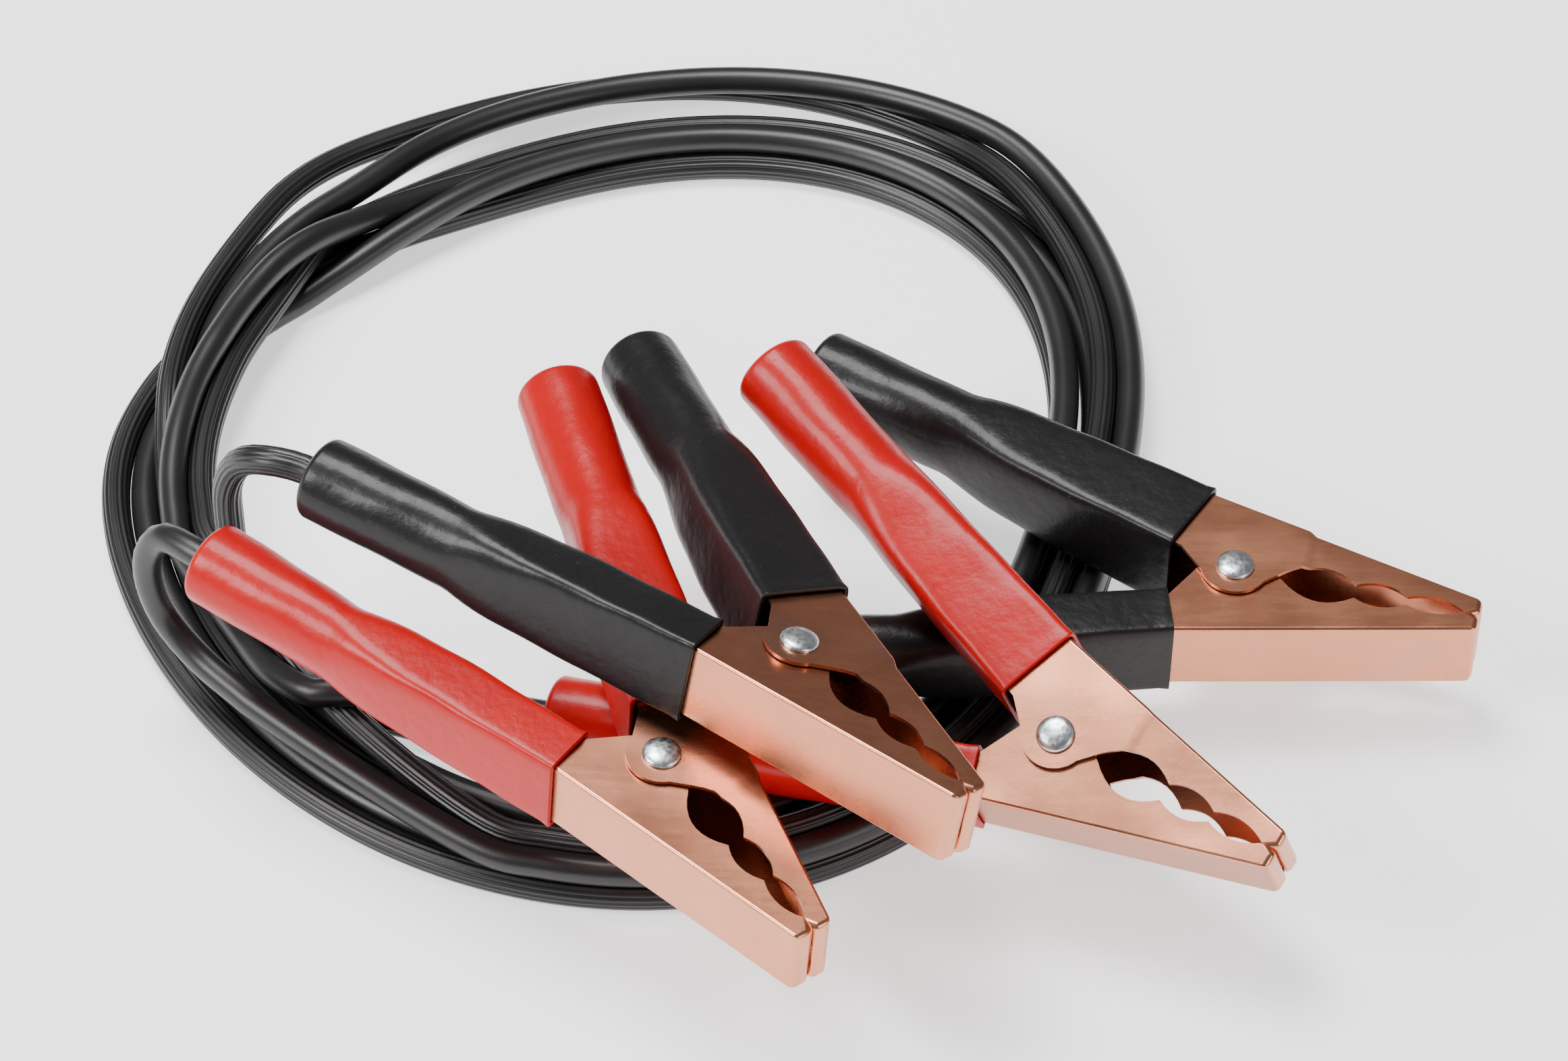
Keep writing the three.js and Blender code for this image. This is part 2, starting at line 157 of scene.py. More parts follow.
# The twin's middle as it is wound: angle from the +X side, distance outside the ring's middle line,
# height, and the side on which the ribbed conductor lies, where 0 is outwards and 90 is up.
WINDING = [
    (-110, 3.9, 9.8, 180), (-80, 3.9, 9.3, 180), (0, 3.9, 9.3, 180), (45, 4.6, 8.6, 215),
    (70, 9.0, 6.2, 295), (92, 9.6, 5.6, 315), (115, 8.6, 8.6, 340), (135, 5.0, 10.4, 360),
    (155, 0.5, 9.4, 360), (178, -5.5, 5.0, 360), (200, -7.4, 3.3, 360), (226, -7.6, 3.3, 360),
    (290, -7.4, 3.3, 350), (320, -7.0, 6.0, 290), (345, -7.0, 6.4, 275), (360, -7.0, 6.4, 270),
    (405, -11.0, 6.6, 250), (438, -15.6, 6.1, 240), (460, -15.8, 6.0, 240), (488, -13.0, 4.6, 300),
    (512, -5.0, 3.3, 360), (535, 5.0, 3.3, 360), (560, 5.8, 3.3, 360), (590, 5.6, 3.3, 360),
    (630, 3.8, 3.3, 360), (720, 3.4, 3.3, 360), (760, 1.0, 3.3, 360), (790, -6.6, 3.3, 360),
    (815, -8.2, 3.3, 360), (842, -8.2, 5.0, 340), (862, -9.5, 8.8, 260), (885, -7.5, 9.4, 190),
    (925, -5.0, 9.6, 190),
]
# At the back left the twin of the first turn has come apart over a hand's width
PARTED_AT = 129
PARTED_OVER = 12
PARTED_BY = 7.0
# The ring's middle line is not quite round: how far it is drawn out two ways and three ways, and turned
RING_OVAL = -0.071
RING_OVAL_TURN = 0.234
RING_EGG = -0.038
RING_EGG_TURN = 0.198


def ring_radius(angle):
    oval = RING_OVAL * np.cos(2 * (angle + RING_OVAL_TURN))
    egg = RING_EGG * np.cos(3 * (angle + RING_EGG_TURN))
    return COIL_RADIUS * (1 + oval + egg)


def on_ring(degrees, across, height):
    angle = np.radians(degrees)
    radius = ring_radius(angle) + across
    x = COIL_MIDDLE[0] + radius * np.cos(angle)
    y = COIL_MIDDLE[1] + radius * np.sin(angle)
    return np.array((x, y, height))


CURVE_PLACES = 24


def through(points, step):
    """A smooth line through the points, which slows before close points, with a place every step."""
    points = [np.array(p, float) for p in points]
    points = [2 * points[0] - points[1]] + points + [2 * points[-1] - points[-2]]
    line = []
    for p0, p1, p2, p3 in zip(points, points[1:], points[2:], points[3:]):
        t0 = 0.0
        t1 = t0 + np.linalg.norm(p1 - p0) ** 0.5
        t2 = t1 + np.linalg.norm(p2 - p1) ** 0.5
        t3 = t2 + np.linalg.norm(p3 - p2) ** 0.5
        for t in np.linspace(t1, t2, CURVE_PLACES, endpoint=False):
            a1 = (t1 - t) / (t1 - t0) * p0 + (t - t0) / (t1 - t0) * p1
            a2 = (t2 - t) / (t2 - t1) * p1 + (t - t1) / (t2 - t1) * p2
            a3 = (t3 - t) / (t3 - t2) * p2 + (t - t2) / (t3 - t2) * p3
            b1 = (t2 - t) / (t2 - t0) * a1 + (t - t0) / (t2 - t0) * a2
            b2 = (t3 - t) / (t3 - t1) * a2 + (t - t1) / (t3 - t1) * a3
            line.append((t2 - t) / (t2 - t1) * b1 + (t - t1) / (t2 - t1) * b2)
    line.append(points[-2])
    return even(np.array(line), step)


def even(line, step):
    far = np.concatenate(([0], np.cumsum(np.linalg.norm(np.diff(line, axis=0), axis=1))))
    count = max(2, round(far[-1] / step) + 1)
    places = np.linspace(0, far[-1], count)
    return np.stack([np.interp(places, far, line[:, k]) for k in range(3)], axis=1)


def lead_line(name):
    route, (angle, across, height) = LEADS[name]
    tail = Vector((HANDLE_TAIL[0], HANDLE_TAIL[1], 0))
    along = (tail - Vector((HANDLE_MOUTH[0], HANDLE_MOUTH[1], 0))).normalized()
    place = clamp_place(name)
    starts = [place @ (tail + along * far) * 1000 for far in (-LEAD_HIDDEN, 0, LEAD_STRAIGHT)]
    return through([*starts, *route, on_ring(angle, across, height)], RING_STEP)


leads = {name: lead_line(name) for name in CLAMPS}
wind_angle, wind_across, wind_height, wind_side = np.array(WINDING).T
turn_step = math.degrees(RING_STEP / COIL_RADIUS)
degrees = np.arange(wind_angle[0], wind_angle[-1], turn_step)
EASED_OVER = 30


def eased(values):
    """The winding's values at every step, smoothed over EASED_OVER degrees to each side."""
    reach = np.arange(degrees[0] - EASED_OVER, degrees[-1] + EASED_OVER, turn_step)
    straight = np.interp(reach, wind_angle, values)
    window = np.hanning(int(EASED_OVER / turn_step) * 2 + 1)
    smooth = np.convolve(straight, window / window.sum(), mode="same")
    start = int(round(EASED_OVER / turn_step))
    return smooth[start:start + len(degrees)]


across, height, side = eased(wind_across), eased(wind_height), np.radians(eased(wind_side))
spacing = PAIR + PARTED_BY * np.exp(-((degrees - PARTED_AT) / PARTED_OVER) ** 2)
wound = []
for sign in (-1, 1):
    out = across + sign * spacing / 2 * np.cos(side)
    up = height + sign * spacing / 2 * np.sin(side)
    wound.append(np.array([on_ring(*place) for place in zip(degrees, out, up)]))
# The winding is settled by pushing strands apart, as they lie on one another in the hand. A few still
# press up to about a quarter of a millimetre into one another. Only the places at the sleeves are held.
HELD_PLACES = 12
BLEND_FROM = 4
BLEND_TO = 8
NEIGHBOURS = 12
TWIN_ENDS = 10
SETTLE_ROUNDS = 110
STRAND_GAP = 0.05
PUSH = 1.2
EASE_BACK = 0.998


def joined(lead_in, turns, lead_out):
    """A conductor from one clamp's tail round the coil to the other's, and which of its places may move."""
    first, last = lead_in[-1], lead_out[-1]
    enter = through([lead_in[-3], first, turns[BLEND_FROM], turns[BLEND_TO]], RING_STEP)
    leave = through([turns[-1 - BLEND_TO], turns[-1 - BLEND_FROM], last, lead_out[-3]], RING_STEP)
    near = np.argmin(np.linalg.norm(enter - first, axis=1))
    end = np.argmin(np.linalg.norm(leave - last, axis=1))
    middle = turns[BLEND_TO:-BLEND_TO]
    line = np.concatenate((lead_in[:-1], enter[near:-1], middle, leave[1:end + 1], lead_out[::-1][1:]))
    free = np.zeros(len(line), bool)
    free[HELD_PLACES:len(line) - HELD_PLACES] = True
    return line, free


smooth_line, smooth_free = joined(leads["red_front"], wound[0], leads["red_rear"])
ribbed_line, ribbed_free = joined(leads["black_front"], wound[1], leads["black_rear"])
target = np.concatenate((smooth_line, ribbed_line))
free = np.concatenate((smooth_free, ribbed_free))
owner = np.concatenate((np.zeros(len(smooth_line)), np.ones(len(ribbed_line))))
index = np.concatenate((np.arange(len(smooth_line)), np.arange(len(ribbed_line))))
near_same = (owner[:, None] == owner[None, :]) & (np.abs(index[:, None] - index[None, :]) < NEIGHBOURS)
first_smooth = np.argmin(np.linalg.norm(smooth_line - wound[0][TWIN_ENDS], axis=1))
first_ribbed = np.argmin(np.linalg.norm(ribbed_line - wound[1][TWIN_ENDS], axis=1))
twin_count = len(wound[0]) - 2 * TWIN_ENDS
twin_smooth = np.arange(first_smooth, first_smooth + twin_count)
twin_ribbed = np.arange(first_ribbed, first_ribbed + twin_count) + len(smooth_line)
partner = np.zeros_like(near_same)
for offset in range(-NEIGHBOURS, NEIGHBOURS + 1):
    inside = (np.arange(twin_count) + offset >= 0) & (np.arange(twin_count) + offset < twin_count)
    a = twin_smooth[inside]
    b = twin_ribbed[(np.arange(twin_count) + offset)[inside]]
    partner[a, b] = partner[b, a] = True
skip = near_same | partner
drift = np.zeros_like(target)
clear = CONDUCTOR + STRAND_GAP
for _ in range(SETTLE_ROUNDS):
    now = target + drift
    square = (now ** 2).sum(axis=1)
    gap2 = square[:, None] + square[None, :] - 2 * now @ now.T
    gap2[skip] = np.inf
    first, second = np.nonzero(gap2 < clear ** 2)
    between = now[first] - now[second]
    gap = np.maximum(np.linalg.norm(between, axis=1), 1e-3)
    push = between / gap[:, None] * ((clear - gap) * 0.5)[:, None]
    total = np.zeros_like(now)
    np.add.at(total, first, push)
    count = np.zeros(len(now))
    np.add.at(count, first, 1)
    drift += total / np.maximum(count, 1)[:, None] * PUSH
    apart = (target + drift)[twin_ribbed] - (target + drift)[twin_smooth]
    long = np.linalg.norm(apart, axis=1)
    fix = apart / long[:, None] * ((long - spacing[TWIN_ENDS:-TWIN_ENDS]) * 0.5)[:, None]
    drift[twin_smooth] += fix
    drift[twin_ribbed] -= fix
    drift[~free] = 0
    for conductor in (0, 1):
        rows = np.nonzero(owner == conductor)[0]
        part = drift[rows]
        part[1:-1] = 0.5 * part[1:-1] + 0.25 * (part[2:] + part[:-2])
        drift[rows] = part
    drift[~free] = 0
    drift *= EASE_BACK
    low = CONDUCTOR / 2 + STRAND_GAP - (target + drift)[:, 2]
    drift[:, 2] += np.where(free, np.maximum(low, 0), 0)
settled = target + drift
SMOOTH_POINTS = 24
RIBBED_POINTS = 64
GROOVE_EVERY = 4
GROOVE_DEPTH = 0.34


def tube(name, line, points, groove):
    """A round tube along the line, in metres, with a lengthwise groove at every fourth point."""
    ahead = np.gradient(line, axis=0)
    ahead /= np.linalg.norm(ahead, axis=1)[:, None]
    out = np.cross(ahead[0], (0, 0, 1.0))
    rows = []
    for place, way in zip(line, ahead):
        out = out - way * out.dot(way)
        out /= np.linalg.norm(out)
        up = np.cross(way, out)
        for k in range(points):
            turn = 2 * math.pi * k / points
            radius = CONDUCTOR / 2 - (groove if k % GROOVE_EVERY == 0 else 0)
            rows.append((place + radius * (math.cos(turn) * out + math.sin(turn) * up)) / 1000)
    faces = []
    for i in range(len(line) - 1):
        for k in range(points):
            a, b = i * points + k, i * points + (k + 1) % points
            faces.append((a, b, b + points, a + points))
    faces.append(tuple(range(points))[::-1])
    last = (len(line) - 1) * points
    faces.append(tuple(range(last, last + points)))
    mesh = bpy.data.meshes.new(name)
    mesh.from_pydata([tuple(row) for row in rows], [], faces)
    mesh.update()
    piece = bpy.data.objects.new(name, mesh)
    bpy.context.scene.collection.objects.link(piece)
    for face in mesh.polygons:
        face.use_smooth = len(face.vertices) == 4
    return piece


smooth_path = settled[:len(smooth_line)]
ribbed_path = settled[len(smooth_line):]
conductor_smooth = tube("conductor_smooth", smooth_path, SMOOTH_POINTS, 0)
conductor_ribbed = tube("conductor_ribbed", ribbed_path, RIBBED_POINTS, GROOVE_DEPTH)


BODY = "cable_and_clamps"
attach(conductor_smooth, BODY)
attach(conductor_ribbed, BODY)
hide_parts("cable_coil", "red_front_lead", "red_rear_lead")
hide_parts("black_front_lead", "black_rear_lead")
for piece, path in ((conductor_smooth, smooth_path), (conductor_ribbed, ribbed_path)):
    tuple(path[4] / 1000)
    [tuple(p / 1000) for p in path]


class Wire:
    """An output socket of a material, which arithmetic turns into Math nodes."""

    def __init__(self, finish, socket):
        self.finish = finish
        self.socket = socket

    def sum_up(self, operation, first, second):
        return self.finish.add("Math", {"operation": operation}, {0: first, 1: second})

    def __add__(self, other):
        return self.sum_up("ADD", self, other)

    def __radd__(self, other):
        return self.sum_up("ADD", other, self)

    def __mul__(self, other):
        return self.sum_up("MULTIPLY", self, other)

    def __rmul__(self, other):
        return self.sum_up("MULTIPLY", other, self)


class Finish:
    """A material of the set, with one way to add a node: its type, its settings and its sockets."""

    def __init__(self, name, **fixed):
        self.material = bpy.data.materials.new(name)
        self.material.use_nodes = True
        self.nodes = self.material.node_tree.nodes
        self.links = self.material.node_tree.links
        self.shader = self.nodes["Principled BSDF"]
        for key, value in fixed.items():
            self.feed(self.shader, key.replace("_", " "), value)

    def feed(self, node, socket, value):
        if isinstance(value, Wire):
            self.links.new(value.socket, node.inputs[socket])
        else:
            node.inputs[socket].default_value = value

    def add(self, kind, settings=None, sockets=None, output=0):
        node = self.nodes.new("ShaderNode" + kind)
        for key, value in (settings or {}).items():
            setattr(node, key, value)
        for socket, value in (sockets or {}).items():
            self.feed(node, socket, value)
        return Wire(self, node.outputs[output])

    def place(self):
        return self.add("TexCoord", output="Object")

    def noise(self, scale, detail=2.0, rough=0.5, stretch=None):
        where = self.place()
        if stretch:
            where = self.add("Mapping", {}, {"Vector": where, "Scale": stretch})
        sockets = {"Vector": where, "Scale": scale, "Detail": detail, "Roughness": rough}
        return self.add("TexNoise", {}, sockets)

    def between(self, low, high, wire):
        """The wire's values from low to high, as 0 to 1 and no further."""
        return self.add("MapRange", {"clamp": True}, {"Value": wire, "From Min": low, "From Max": high})

    def tint(self, factor, first, second):
        node = self.nodes.new("ShaderNodeMix")
        node.data_type = "RGBA"
        self.feed(node, "Factor", factor)
        self.feed(node, 6, first)
        self.feed(node, 7, second)
        return Wire(self, node.outputs[2])

    def bump(self, height, strength, distance, over=None):
        sockets = {"Height": height, "Strength": strength, "Distance": distance}
        if over:
            sockets["Normal"] = over
        return self.add("Bump", {}, sockets)

    def set(self, **sockets):
        for key, value in sockets.items():
            self.feed(self.shader, key.replace("_", " "), value)
        return self.material


def cable_finish():
    finish = Finish("cable_vinyl", Specular_IOR_Level=0.5)
    cloud = finish.noise(45, 3)
    grain = finish.noise(2600, 2)
    return finish.set(
        Base_Color=finish.tint(cloud, (0.007, 0.0065, 0.007, 1), (0.015, 0.014, 0.015, 1)),
        Roughness=0.3 + 0.16 * cloud,
        Normal=finish.bump(grain, 0.25, 0.0001),
    )


cable_black = cable_finish()
conductor_smooth.data.materials.append(cable_black)
conductor_ribbed.data.materials.append(cable_black)

# The jaws are pressed from 0.8 mm steel sheet and copper-plated: a channel with a flat back, two flanges
# with three scallops each, and a closed nose. The free jaw's ears lie outside the other's at the rivet.
SHEET = 0.8
NOSE_REACH = 52.2
NOSE_BULGE = 1.2
NOSE_HEIGHT = 4.6
WEB_SLOPE = math.tan(math.radians(14.1))
CABLE_JAW_WIDTH = 17.4
FREE_JAW_WIDTH = 19.6
STEP_FRONT = -15.6
STEP_REAR = -14.0
PARTING = 0.15
EDGE_STOPS = [(49.5, 0.15), (37.5, 1.15), (26.2, 1.9), (10.3, 0.6)]
SCALLOPS = (2.3, 3.3, 4.9)
MOUTH_X = HANDLE_MOUTH[0]
FLANGE_TURN_X = MOUTH_X + 1.2
WEB_TURN_X = MOUTH_X - 1.4
NOSE_BEND = 3.1
WEB_BEND = 1.6
CABLE_HANDLE_ANGLE = math.radians(17.6)
FREE_HANDLE_ANGLE = math.radians(20.1)
TANG_LENGTH = 14.0
TANG_TAPER = 0.945
TANG_TAPER_FROM = 0.7
TANG_DROP = 0.35
SCALLOP_STEPS = 9
EAR_STEPS = 24
NOSE_EDGE_OUT = 0.15
NOSE_CORNER = ((0, 1.25), (0.45, 0.5))
NOTCH_HALF = 2.4
NOTCH_DEPTH = 1.2
NOTCH_CUTS = 9
EDGE_ROUND = 0.14
NEAR = 0.01
# Each ear's radius, and the angles between which its edge runs round the rivet
CABLE_EAR = (6.4, 208, 330)
FREE_EAR = (7.4, 203, 340)
CABLE_FLANGE_EDGE = 10.3
FREE_FLANGE_EDGE = 3.2


def web_line(x):
    return NOSE_HEIGHT + (x + NOSE_REACH) * WEB_SLOPE


def jaw_outline(ear_radius, ear_from, ear_to, flange_edge, handle_angle):
    """The flange's outline from the nose along the scallops and the ear, and back along the web."""
    points = [(-NOSE_REACH - NOSE_EDGE_OUT, PARTING), (-EDGE_STOPS[0][0], EDGE_STOPS[0][1])]
    for (start, start_half), (stop, stop_half), depth in zip(EDGE_STOPS, EDGE_STOPS[1:], SCALLOPS):
        pull = 2 * depth - (start_half + stop_half) / 2
        for k in range(1, SCALLOP_STEPS + 1):
            t = k / SCALLOP_STEPS
            x = (1 - t) ** 2 * -start + 2 * t * (1 - t) * -(start + stop) / 2 + t * t * -stop
            y = (1 - t) ** 2 * start_half + 2 * t * (1 - t) * pull + t * t * stop_half
            points.append((x, y))
    for k in range(EAR_STEPS + 1):
        angle = math.radians(ear_from + (ear_to - ear_from) * k / EAR_STEPS)
        points.append((ear_radius * math.cos(angle), ear_radius * math.sin(angle)))
    back = (math.cos(handle_angle) * TANG_LENGTH, math.sin(handle_angle) * TANG_LENGTH)
    flange_rear = (FLANGE_TURN_X, flange_edge)
    web_rear = (WEB_TURN_X, web_line(WEB_TURN_X))
    points += [flange_rear, (flange_rear[0] + back[0], flange_rear[1] + back[1])]
    points += [(web_rear[0] + back[0], web_rear[1] + back[1] - TANG_DROP), web_rear]
    tip = -NOSE_REACH - NOSE_BULGE
    points += [(tip, web_line(tip)), *((tip + x, y) for x, y in NOSE_CORNER)]
    return points


def on_back(place, handle_angle):
    """Whether a place is on the web or on the closed front of the nose."""
    if place[0] < -NOSE_REACH - 0.1:
        return True
    # The web drops a little towards the tang's end, so its middle lies less than that drop off the line
    web = web_line(min(place[0], WEB_TURN_X)) + max(place[0] - WEB_TURN_X, 0) * math.tan(handle_angle)
    return abs(place[1] - web) < TANG_DROP


def use(piece, mode="OBJECT"):
    bpy.ops.object.select_all(action="DESELECT")
    piece.select_set(True)
    bpy.context.view_layer.objects.active = piece
    if mode == "EDIT":
        bpy.ops.object.mode_set(mode="EDIT")


def apply(piece, kind, **settings):
    use(piece)
    modifier = piece.modifiers.new(kind, kind)
    for key, value in settings.items():
        setattr(modifier, key, value)
    bpy.ops.object.modifier_apply(modifier=modifier.name)


def pressed_jaw(name, width, outline, handle_angle, wide_rear):
    bpy.ops.object.select_all(action="DESELECT")
    bpy.ops.mesh.primitive_circle_add(vertices=len(outline), radius=1, fill_type="NGON")
    jaw = bpy.context.object
    jaw.name = name
    for vertex, (x, y) in zip(jaw.data.vertices, outline):
        vertex.co = (x, y, -width / 2)
    use(jaw, "EDIT")
    bpy.ops.mesh.select_all(action="SELECT")
    bpy.ops.mesh.extrude_region_move(TRANSFORM_OT_translate={"value": (0, 0, width)})
    bpy.ops.mesh.select_all(action="SELECT")
    bpy.ops.mesh.normals_make_consistent(inside=False)
    if wide_rear:
        for x in (STEP_FRONT, STEP_REAR):
            bpy.ops.mesh.select_all(action="SELECT")
            bpy.ops.mesh.bisect(plane_co=(x, 0, 0), plane_no=(1, 0, 0))
    bpy.ops.object.mode_set(mode="OBJECT")
    mesh = jaw.data
    if wide_rear:
        for vertex in mesh.vertices:
            if vertex.co.x > STEP_REAR - NEAR:
                vertex.co.z *= wide_rear / width
    # The end of the tang is drawn in, as the sleeve narrows round it
    tang_end = MOUTH_X + TANG_LENGTH * TANG_TAPER_FROM
    for vertex in mesh.vertices:
        if vertex.co.x > tang_end:
            vertex.co.z *= TANG_TAPER
    # The sheet's own faces stay: both flanges, the web and the front of the nose
    for polygon in mesh.polygons:
        polygon.select = abs(polygon.normal.z) < 0.3 and not on_back(polygon.center, handle_angle)
    for edge in mesh.edges:
        edge.select = False
    for vertex in mesh.vertices:
        vertex.select = False
    use(jaw, "EDIT")
    bpy.ops.mesh.select_mode(type="FACE")
    bpy.ops.mesh.delete(type="ONLY_FACE")
    bpy.ops.mesh.select_mode(type="EDGE")
    bpy.ops.mesh.select_all(action="SELECT")
    bpy.ops.mesh.delete_loose()
    bpy.ops.mesh.select_all(action="DESELECT")
    bpy.ops.object.mode_set(mode="OBJECT")
    weights = mesh.attributes.new("bevel_weight_edge", "FLOAT", "EDGE")
    faces_on = {}
    for polygon in mesh.polygons:
        for key in polygon.edge_keys:
            faces_on.setdefault(key, []).append(polygon.normal)
    for edge in mesh.edges:
        normals = faces_on.get(tuple(sorted(edge.vertices)), [])
        if len(normals) == 2 and normals[0].angle(normals[1]) > math.radians(50):
            ends = [mesh.vertices[i].co for i in edge.vertices]
            at_nose = all(end.x < -NOSE_REACH for end in ends)
            weights.data[edge.index].value = 1.0 if at_nose else WEB_BEND / NOSE_BEND
    apply(jaw, "BEVEL", limit_method="WEIGHT", width=NOSE_BEND, segments=5)
    # A small notch in the middle of the nose's edge, half of the diamond that shows in the slit
    for edge in mesh.edges:
        ends = [mesh.vertices[i].co for i in edge.vertices]
        edge.select = all(end.x < -NOSE_REACH and end.y < PARTING + NEAR for end in ends)
        edge.select = edge.select and abs(ends[0].z - ends[1].z) > width / 2
    use(jaw, "EDIT")
    bpy.ops.mesh.subdivide(number_cuts=NOTCH_CUTS)
    bpy.ops.object.mode_set(mode="OBJECT")
    for vertex in mesh.vertices:
        if vertex.co.x < -NOSE_REACH and vertex.co.y < PARTING + NEAR and abs(vertex.co.z) < NOTCH_HALF:
            vertex.co.y += NOTCH_DEPTH * (1 - abs(vertex.co.z) / NOTCH_HALF)
    back = max(mesh.polygons, key=lambda polygon: polygon.area if abs(polygon.normal.z) < 0.3 else 0)
    if back.normal.y < 0:
        mesh.flip_normals()
    apply(jaw, "SOLIDIFY", thickness=SHEET, offset=-1, use_even_offset=True)
    apply(jaw, "BEVEL", limit_method="ANGLE", angle_limit=math.radians(60), width=EDGE_ROUND, segments=2)
    use(jaw)
    bpy.ops.object.shade_smooth_by_angle(angle=math.radians(40))
    apply(jaw, "WEIGHTED_NORMAL", keep_sharp=True)
    return jaw


def copper_finish():
    finish = Finish("copper_plate", Metallic=1.0)
    cloud = finish.noise(55, 4, 0.6)
    brushed = finish.noise(700, 3, 0.6, (0.12, 1, 1))
    grain = finish.noise(5200, 2)
    stain = finish.between(0.62, 0.72, finish.noise(38, 2, 0.4))
    dents = finish.bump(finish.noise(34, 1), 0.4, 0.0022)
    colour = finish.tint(cloud, (0.58, 0.225, 0.13, 1), (0.72, 0.31, 0.185, 1))
    colour = finish.tint(stain * 0.35, colour, (0.42, 0.27, 0.27, 1))
    return finish.set(
        Base_Color=colour,
        Roughness=0.17 + 0.12 * cloud + 0.08 * brushed,
        Normal=finish.bump(0.6 * grain + 0.4 * brushed, 0.12, 0.0001, dents),
    )


copper = copper_finish()
cable_jaw = pressed_jaw(
    "cable_jaw", CABLE_JAW_WIDTH, jaw_outline(*CABLE_EAR, CABLE_FLANGE_EDGE, CABLE_HANDLE_ANGLE),
    CABLE_HANDLE_ANGLE, None,
)
free_jaw = pressed_jaw(
    "free_jaw", CABLE_JAW_WIDTH, jaw_outline(*FREE_EAR, FREE_FLANGE_EDGE, FREE_HANDLE_ANGLE),
    FREE_HANDLE_ANGLE, FREE_JAW_WIDTH,
)
FREE_BODIES = {name[:-5]: name for name in frame["bodies"] if name.endswith("_free")}


def place_copies(model, part, finish, other_side=False, moves=False):
    """A copy of the model on each clamp, in metres, that stands for the clamp's CAD node of that part."""
    for name in CLAMPS:
        colour = CLAMPS[name][2]
        mesh = model.data.copy()
        turned = Matrix.Rotation(math.pi, 4, "X") if other_side else Matrix.Identity(4)
        mesh.transform(clamp_place(name) @ turned)
        piece = bpy.data.objects.new(f"{name}_{model.name}", mesh)
        bpy.context.scene.collection.objects.link(piece)
        mesh.materials.clear()
        mesh.materials.append(finish[colour] if isinstance(finish, dict) else finish)
        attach(piece, FREE_BODIES.get(name, BODY) if moves else BODY)
        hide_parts(f"{name}_{part}")
    bpy.data.objects.remove(model)


cable_jaw.name = "pressed_cable_jaw"
free_jaw.name = "pressed_free_jaw"
place_copies(cable_jaw, "cable_jaw", copper)
place_copies(free_jaw, "free_jaw", copper, other_side=True, moves=True)

# One zinc-plated steel rivet holds the two jaws: a plain shank with a low dome on each side. It goes
# through the sheet of the jaws as it is, for they are modelled without the bores that the heads hide.
HEAD_RADIUS = 4.1
HEAD_HEIGHT = 1.6
HEAD_RIM = 0.3
SHANK_RADIUS = 2.4
RIVET_SEAT = FREE_JAW_WIDTH / 2 + 0.05
RIVET_POINTS = 40
DOME_STEPS = 8
bpy.ops.object.select_all(action="DESELECT")
half_rivet = [(SHANK_RADIUS, RIVET_SEAT), (HEAD_RADIUS, RIVET_SEAT)]
for k in range(DOME_STEPS):
    rise = k / DOME_STEPS * math.pi / 2
    dome_z = RIVET_SEAT + HEAD_RIM + (HEAD_HEIGHT - HEAD_RIM) * math.sin(rise)
    half_rivet.append((HEAD_RADIUS * math.cos(rise), dome_z))
rivet_rows = [(radius, -z) for radius, z in reversed(half_rivet)] + half_rivet
bpy.ops.mesh.primitive_circle_add(vertices=RIVET_POINTS, radius=1)
rivet = bpy.context.object
rivet.name = "domed_rivet"
use(rivet, "EDIT")
bpy.ops.mesh.select_all(action="SELECT")
for _ in rivet_rows[1:]:
    bpy.ops.mesh.extrude_region_move(TRANSFORM_OT_translate={"value": (0, 0, 1)})
bpy.ops.mesh.select_all(action="SELECT")
bpy.ops.mesh.fill_holes(sides=0)
bpy.ops.object.mode_set(mode="OBJECT")
for vertex in rivet.data.vertices:
    radius, z = rivet_rows[round(vertex.co.z)]
    turn = math.atan2(vertex.co.y, vertex.co.x)
    vertex.co = (radius * math.cos(turn), radius * math.sin(turn), z)
use(rivet, "EDIT")
bpy.ops.mesh.select_all(action="SELECT")
bpy.ops.mesh.normals_make_consistent(inside=False)
bpy.ops.object.mode_set(mode="OBJECT")
use(rivet)
bpy.ops.object.shade_smooth_by_angle(angle=math.radians(40))


def zinc_finish():
    finish = Finish("zinc_plate", Metallic=1.0)
    spangle = finish.add("TexVoronoi", {}, {"Vector": finish.place(), "Scale": 900.0})
    cloud = finish.noise(420, 2)
    return finish.set(
        Base_Color=finish.tint(cloud, (0.52, 0.55, 0.57, 1), (0.78, 0.81, 0.82, 1)),
        Roughness=0.2 + 0.22 * spangle,
        Normal=finish.bump(cloud, 0.5, 0.0003),
    )


place_copies(rivet, "rivet", zinc_finish())

# A torsion spring of drawn steel wire is wound round the rivet between the ears. Its two straight legs
# press on the insides of the webs and hold the jaws closed.
WIRE = 1.8
COIL_PLAY = 0.5
END_PLAY = 1.0
LEG_PLAY = 0.1
SPRING_RADIUS = SHANK_RADIUS + COIL_PLAY + WIRE / 2
SPRING_HALF = CABLE_JAW_WIDTH / 2 - SHEET - END_PLAY - WIRE / 2
SPRING_TURNS = 6.5
TURN_STEPS = 20
LEG_REACH = 8.0
CABLE_LEG_TURN = (SPRING_RADIUS + 1.2, 6.0)
FREE_LEG_TURN = (0.8, -SPRING_RADIUS - 0.6)


